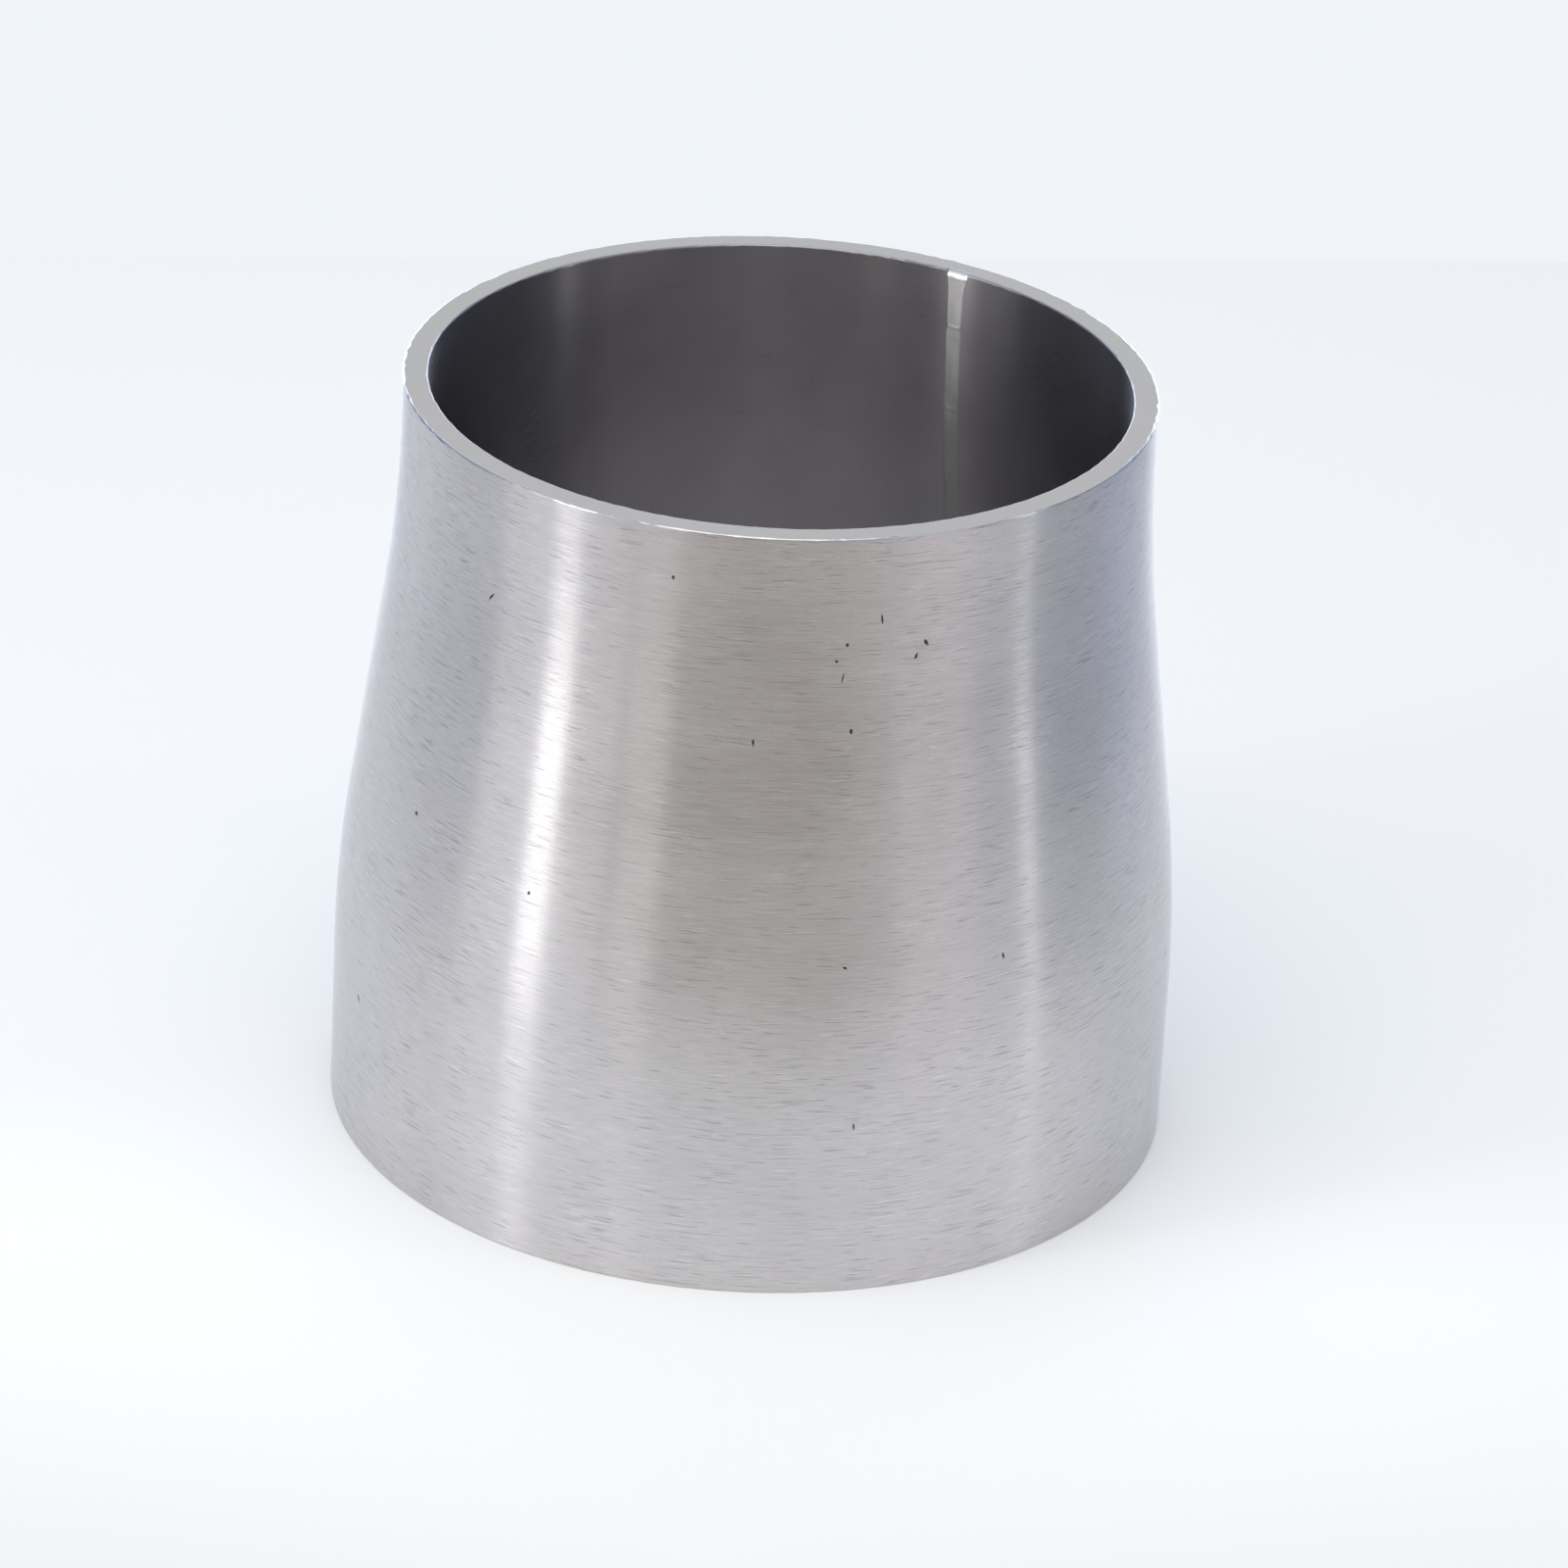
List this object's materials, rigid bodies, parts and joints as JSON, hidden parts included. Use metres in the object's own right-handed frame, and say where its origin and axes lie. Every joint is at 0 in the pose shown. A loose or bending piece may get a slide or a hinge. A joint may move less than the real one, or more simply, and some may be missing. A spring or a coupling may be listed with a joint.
{
  "type": "concentric reducer",
  "caption": "Concentric butt-weld pipe reducer: an open ogee shell of brushed stainless steel that narrows from a large to a small end, closed by a longitudinal seam weld.",
  "frame": {"origin": "centre of the large end's flat face, on the pipe axis, where the fitting stands on a table", "axes": "+Z along the pipe axis from the large end to the small end, +Y through the middle of the longitudinal seam weld"},
  "size_m": [0.1016, 0.1016, 0.094],
  "materials": {
    "brushed_stainless": "brushed round the axis outside, smooth mill finish in the bore, matte square-cut rims",
    "weld_metal": "bright weld metal, fine ripples inside, ground flush and brushed outside"
  },
  "bodies": {
    "root": {"reducer_shell": "brushed_stainless", "seam_weld": "weld_metal"}
  },
  "joints": []
}
